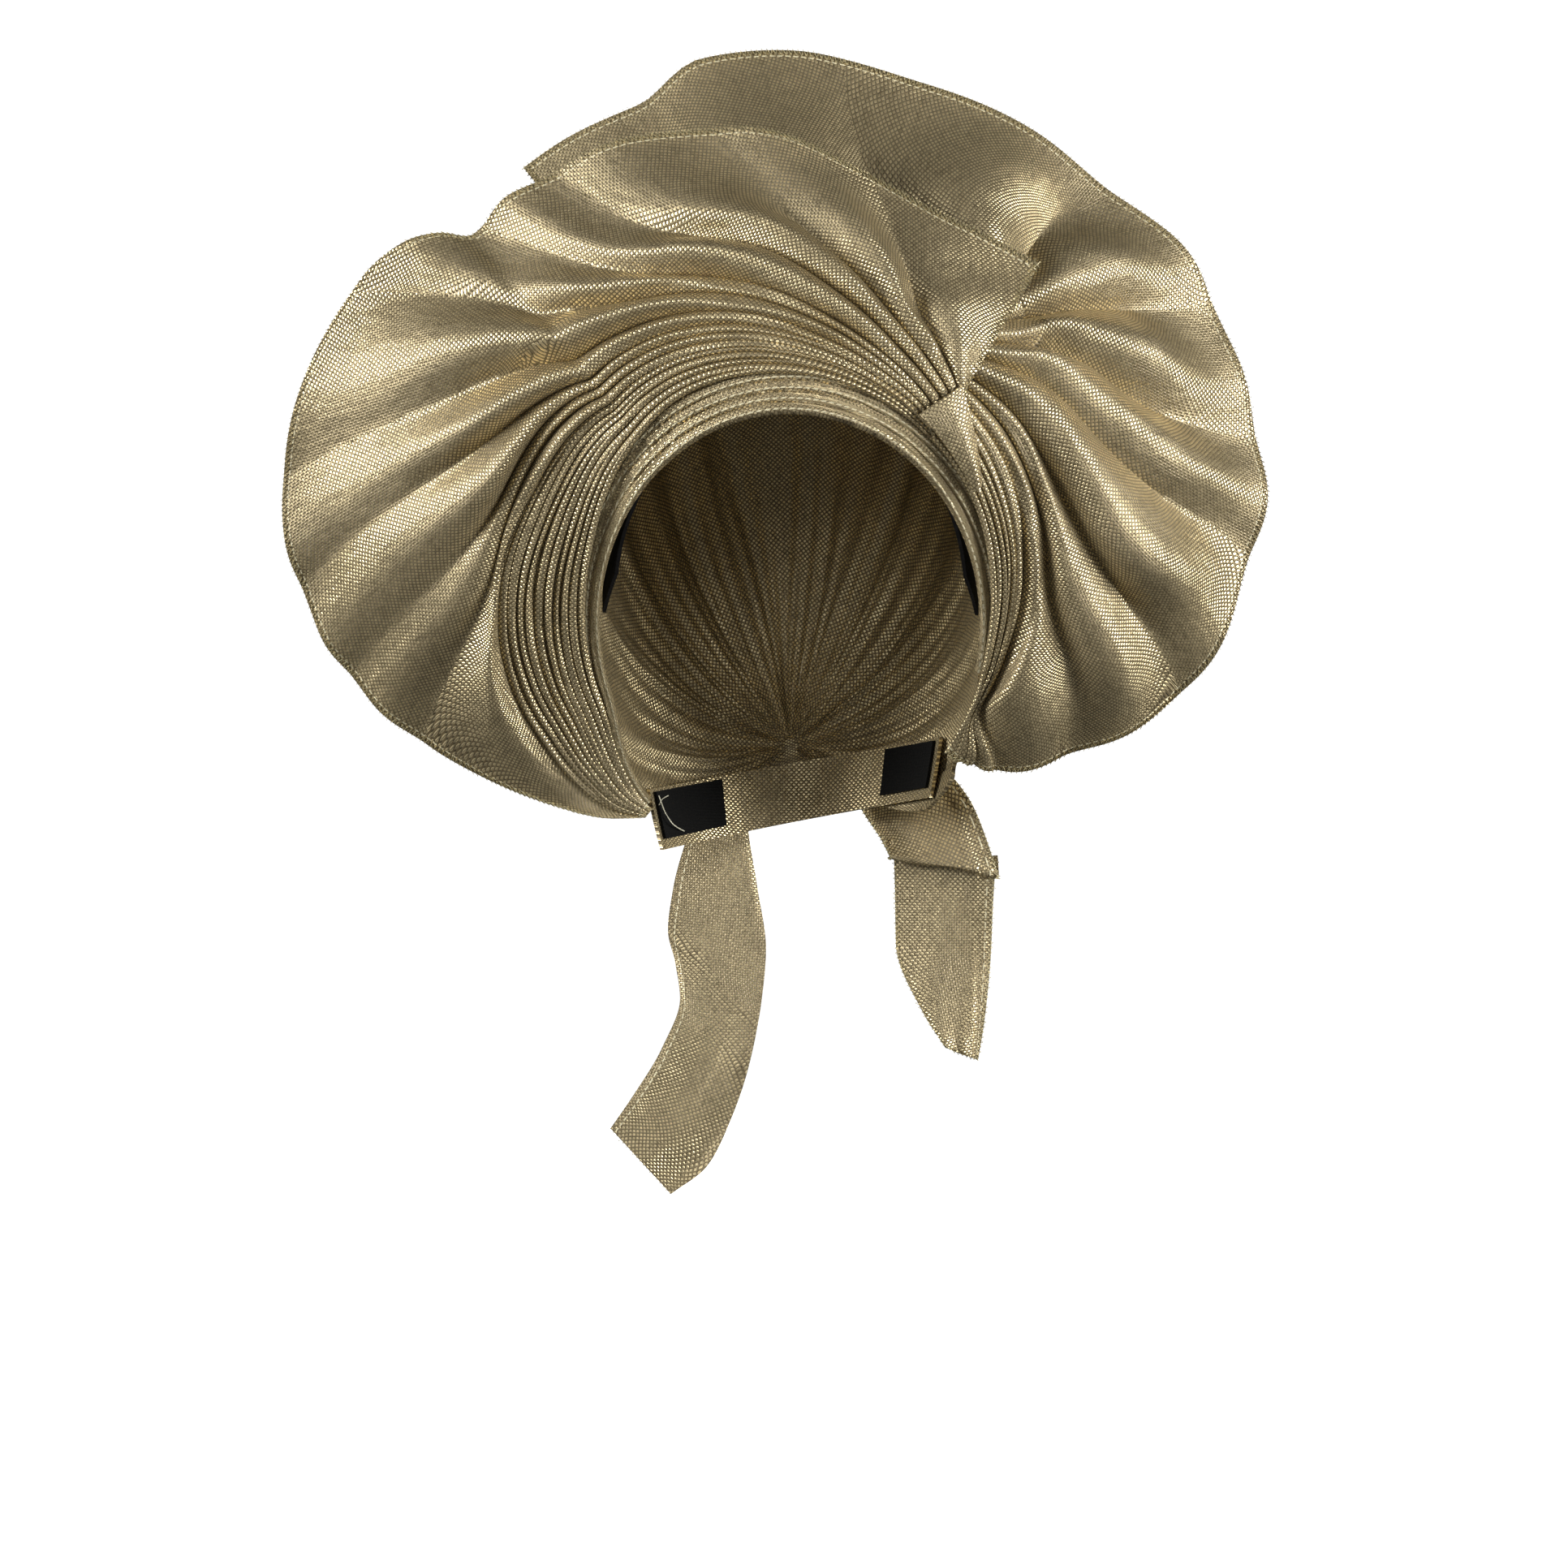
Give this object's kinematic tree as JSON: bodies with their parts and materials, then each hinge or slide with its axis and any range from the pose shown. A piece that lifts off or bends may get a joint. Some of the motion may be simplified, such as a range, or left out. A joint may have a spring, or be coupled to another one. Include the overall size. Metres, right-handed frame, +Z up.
{
  "type": "tied gele head tie",
  "caption": "Ready-tied head wrap of stiff metallic cloth: pleated fans spread from a gather at the temple round a brow band, with a gathered crown cap, nape strap, knot and hanging tie ends.",
  "frame": {"origin": "centre of the head that wears it, level with the eyes and midway between the temples, in the plane where the face opening is centred", "axes": "+Z up, -Y the way the wearer faces, +X to the wearer's left"},
  "size_m": [0.4139, 0.1951, 0.4902],
  "materials": {
    "gold_cloth": "stiff metallic gold plain weave with bright glints",
    "black_stretch_cloth": "matt black stretch cloth",
    "black_hook_tape": "matt black hook-and-loop tape"
  },
  "bodies": {
    "root": {"left_fan": "gold_cloth", "right_fan": "gold_cloth", "brow_band": "gold_cloth", "gather_wrap": "gold_cloth", "crown_cap": "gold_cloth", "inner_band": "black_stretch_cloth", "nape_strap": "gold_cloth", "hook_patch": "black_hook_tape", "loop_patch": "black_hook_tape", "nape_knot": "gold_cloth", "right_tie_end": "gold_cloth", "left_tie_end": "gold_cloth"}
  },
  "joints": []
}
